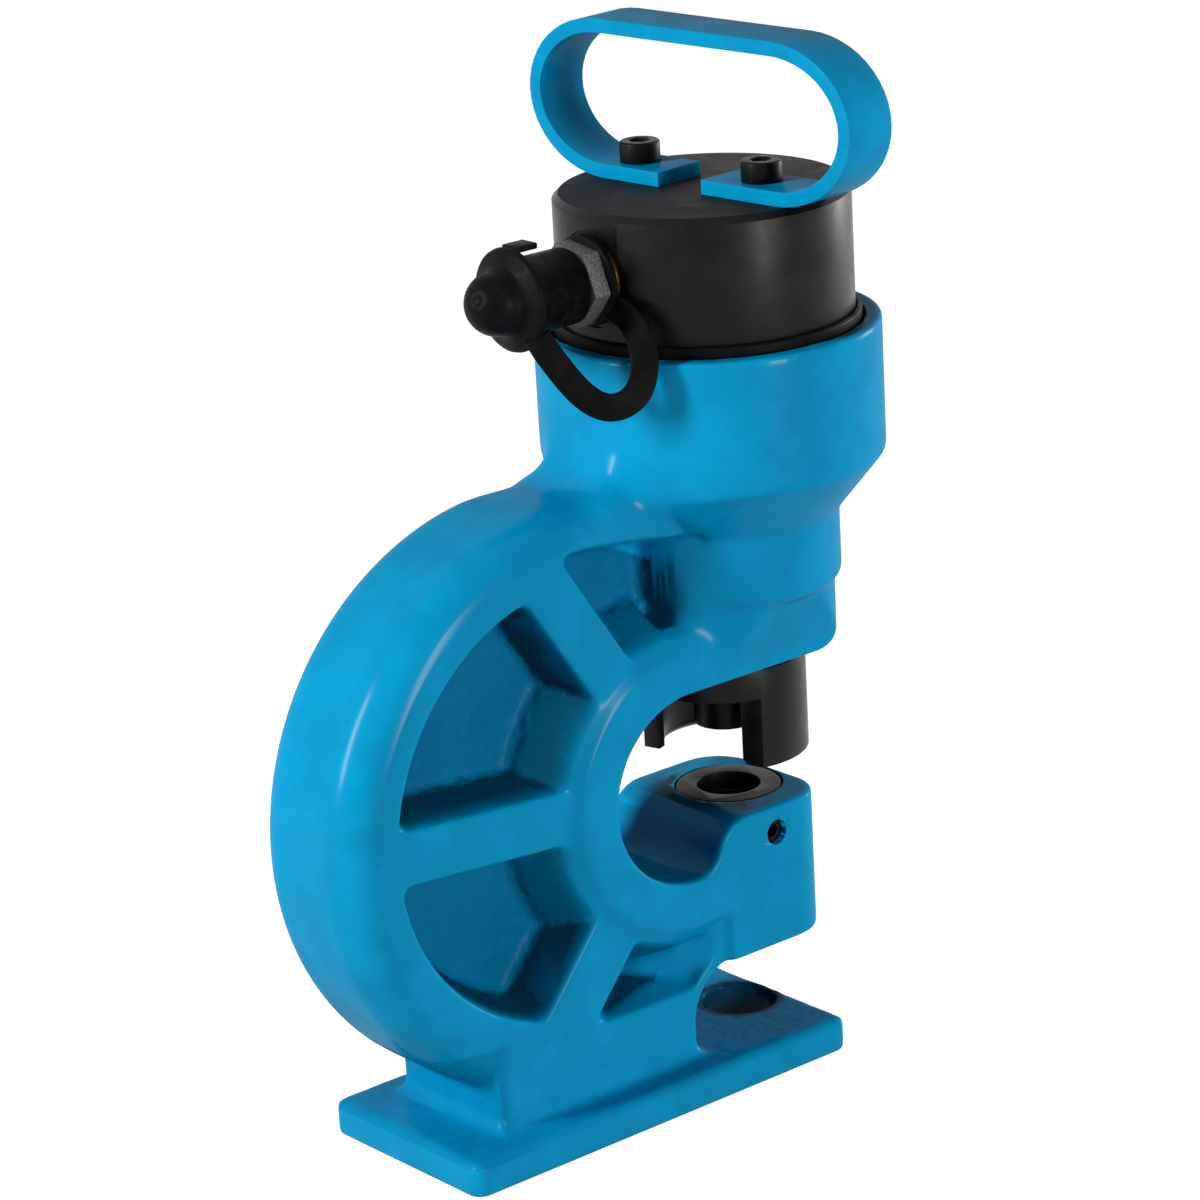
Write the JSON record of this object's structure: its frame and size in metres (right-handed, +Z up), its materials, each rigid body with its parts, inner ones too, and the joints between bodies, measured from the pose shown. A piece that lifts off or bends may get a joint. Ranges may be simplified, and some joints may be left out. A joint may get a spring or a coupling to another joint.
{
  "type": "hydraulic hole punch",
  "caption": "Bench-standing C-frame hydraulic hole punch with a spring-return ram, round punch, stripper, die, oil coupler and carrying handle.",
  "frame": {"origin": "where the punch axis meets the underside of the base", "axes": "+X towards the open side of the throat, +Y across the casting, +Z up along the punch axis, from the base to the handle"},
  "size_m": [0.2228, 0.1342, 0.332],
  "materials": {
    "blue_paint": "semi-gloss paint on a sand casting",
    "black_oxide": "satin black oxide on turned steel",
    "black_rubber": "matt moulded rubber",
    "black_screw": "blackened alloy steel",
    "ground_steel": "ground steel",
    "chrome_rod": "hard chrome",
    "spring_steel": "oiled spring steel",
    "bronze": "turned bearing bronze",
    "tool_steel": "blackened tool steel, ground edge",
    "cast_grey": "grainy phosphated steel"
  },
  "bodies": {
    "root": {"frame": "blue_paint", "cylinder_body": "black_oxide", "dust_ring": "black_rubber", "handle": "blue_paint", "handle_screws": "black_screw", "return_spring": "spring_steel", "guide_bush": "bronze", "rod_wiper": "black_rubber", "stripper": "black_oxide", "stripper_screw": "black_screw", "coupler_body": "cast_grey", "coupler_washer": "bronze", "coupler_spring": "spring_steel", "coupler_retainer": "spring_steel", "cap_strap": "black_rubber"},
    "ram": {"piston": "ground_steel", "piston_rod": "chrome_rod", "piston_screw": "black_screw", "piston_seal": "black_rubber", "piston_wear_ring": "bronze", "punch": "tool_steel", "punch_nut": "black_oxide"},
    "die": {"die": "tool_steel"},
    "die_screw": {"die_set_screw": "black_screw"},
    "cap": {"dust_cap": "black_rubber"},
    "poppet": {"coupler_poppet": "ground_steel"}
  },
  "joints": [
    {"name": "ram_stroke", "type": "slide", "parent": "root", "child": "ram", "axis": [0, 0, -1], "range_m": [0, 0.025], "stiffness_N_per_m": 12000, "springref_m": -0.005, "deforming": ["return_spring"]},
    {"name": "die_lift", "type": "slide", "parent": "root", "child": "die", "axis": [0, 0, 1], "range_m": [0, 0.0075]},
    {"name": "die_screw_back_off", "type": "slide", "parent": "root", "child": "die_screw", "axis": [0, -1, 0], "range_m": [0, 0.012]},
    {"name": "cap_pull", "type": "slide", "parent": "root", "child": "cap", "axis": [-1, 0, 0], "range_m": [0, 0.024]},
    {"name": "poppet_press", "type": "slide", "parent": "root", "child": "poppet", "axis": [1, 0, 0], "range_m": [0, 0.003], "stiffness_N_per_m": 900, "springref_m": -0.002, "deforming": ["coupler_spring"]}
  ]
}
